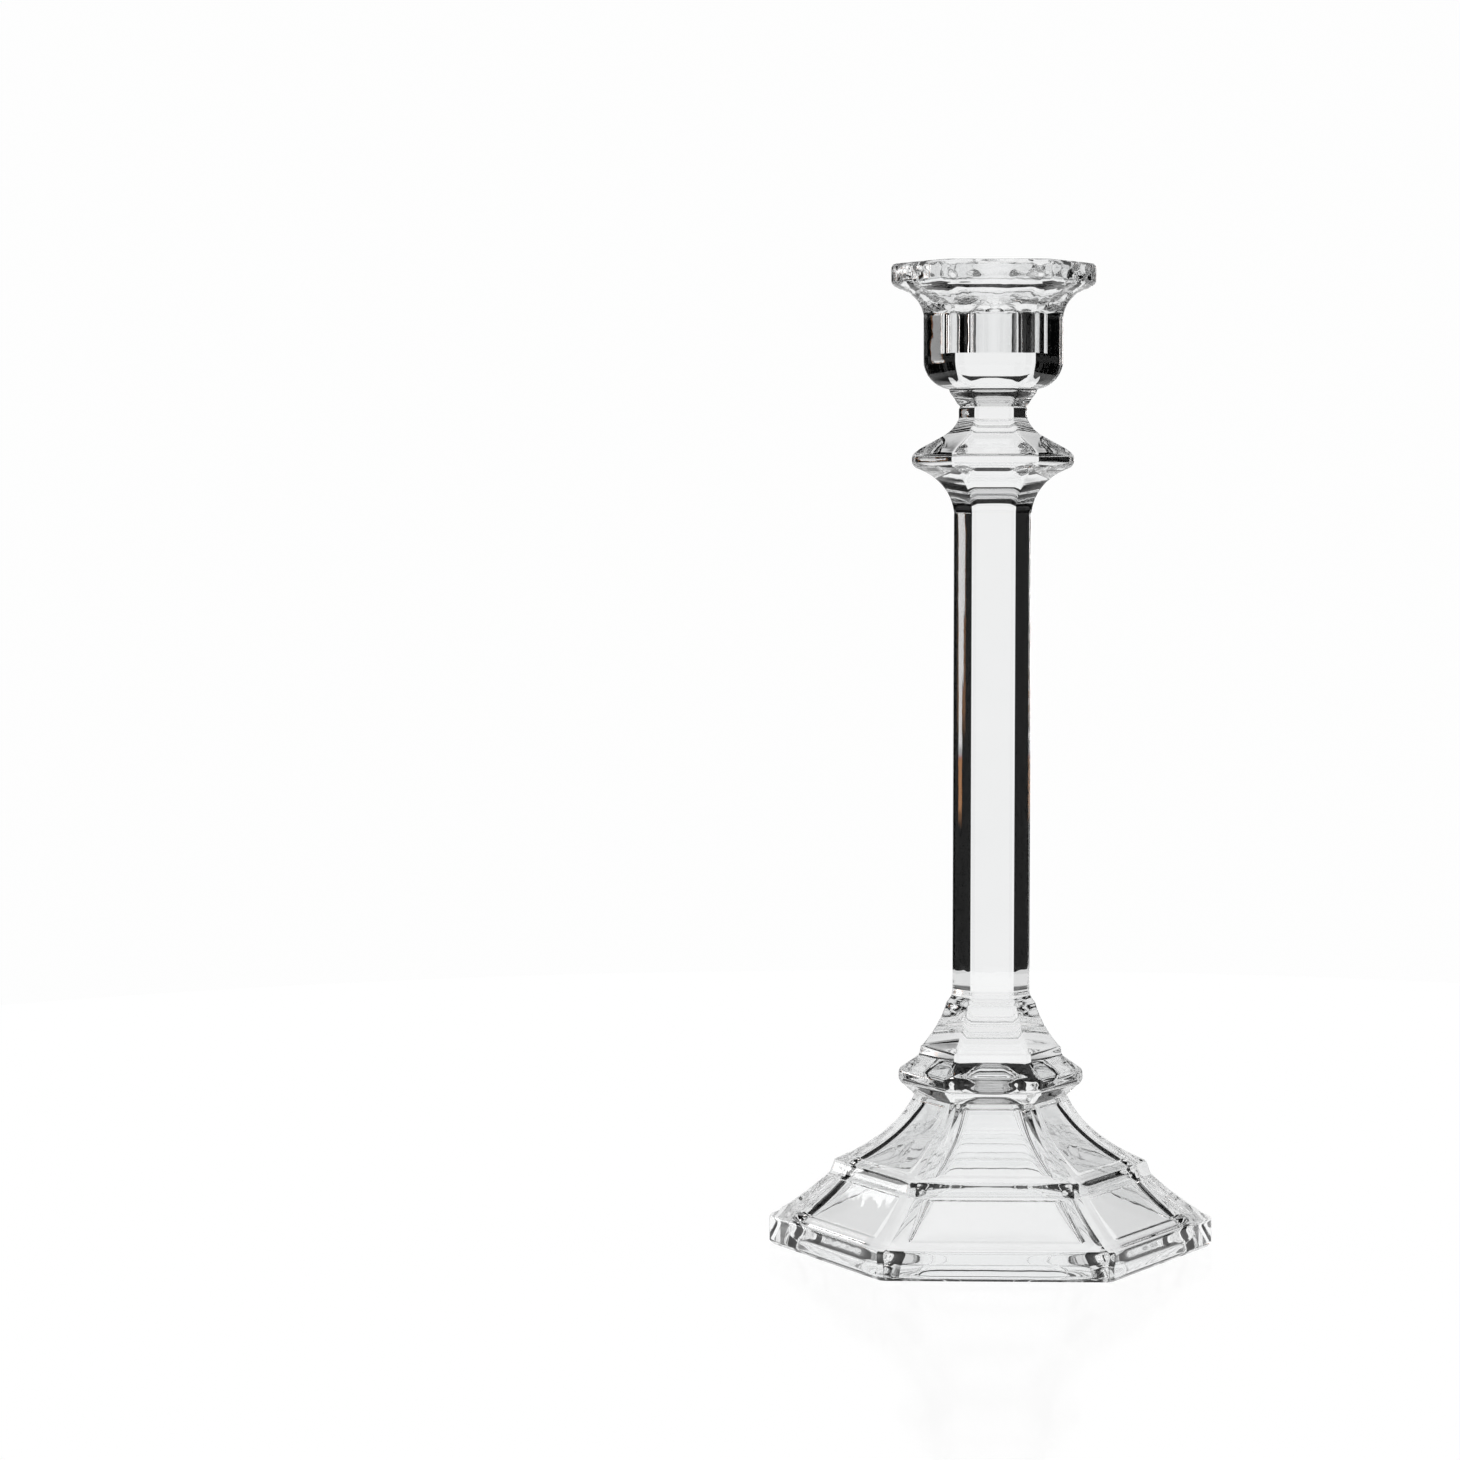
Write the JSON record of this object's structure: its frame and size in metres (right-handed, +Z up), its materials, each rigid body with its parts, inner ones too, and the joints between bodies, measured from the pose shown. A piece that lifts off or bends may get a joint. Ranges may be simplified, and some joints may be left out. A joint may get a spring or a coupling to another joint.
{
  "type": "glass candlestick",
  "caption": "Tall hexagonal pressed-glass candlestick with a flared candle cup, a faceted stem between two knops, and a wide hollow stepped foot.",
  "frame": {"origin": "middle of the underside of the foot, on the surface the candlestick stands on", "axes": "+Z up along the stem to the candle; a flat face looks along -Y and +Y; corners of the hexagon point along +X and -X"},
  "size_m": [0.155, 0.1356, 0.343],
  "materials": {
    "clear_glass": "fire-polished clear pressed glass",
    "clear_adhesive": "clear cured adhesive film"
  },
  "bodies": {
    "root": {"foot": "clear_glass", "foot_bond": "clear_adhesive", "lower_knop": "clear_glass", "lower_stem_bond": "clear_adhesive", "stem": "clear_glass", "upper_stem_bond": "clear_adhesive", "upper_knop": "clear_glass", "cup_bond": "clear_adhesive", "candle_cup": "clear_glass"}
  },
  "joints": []
}
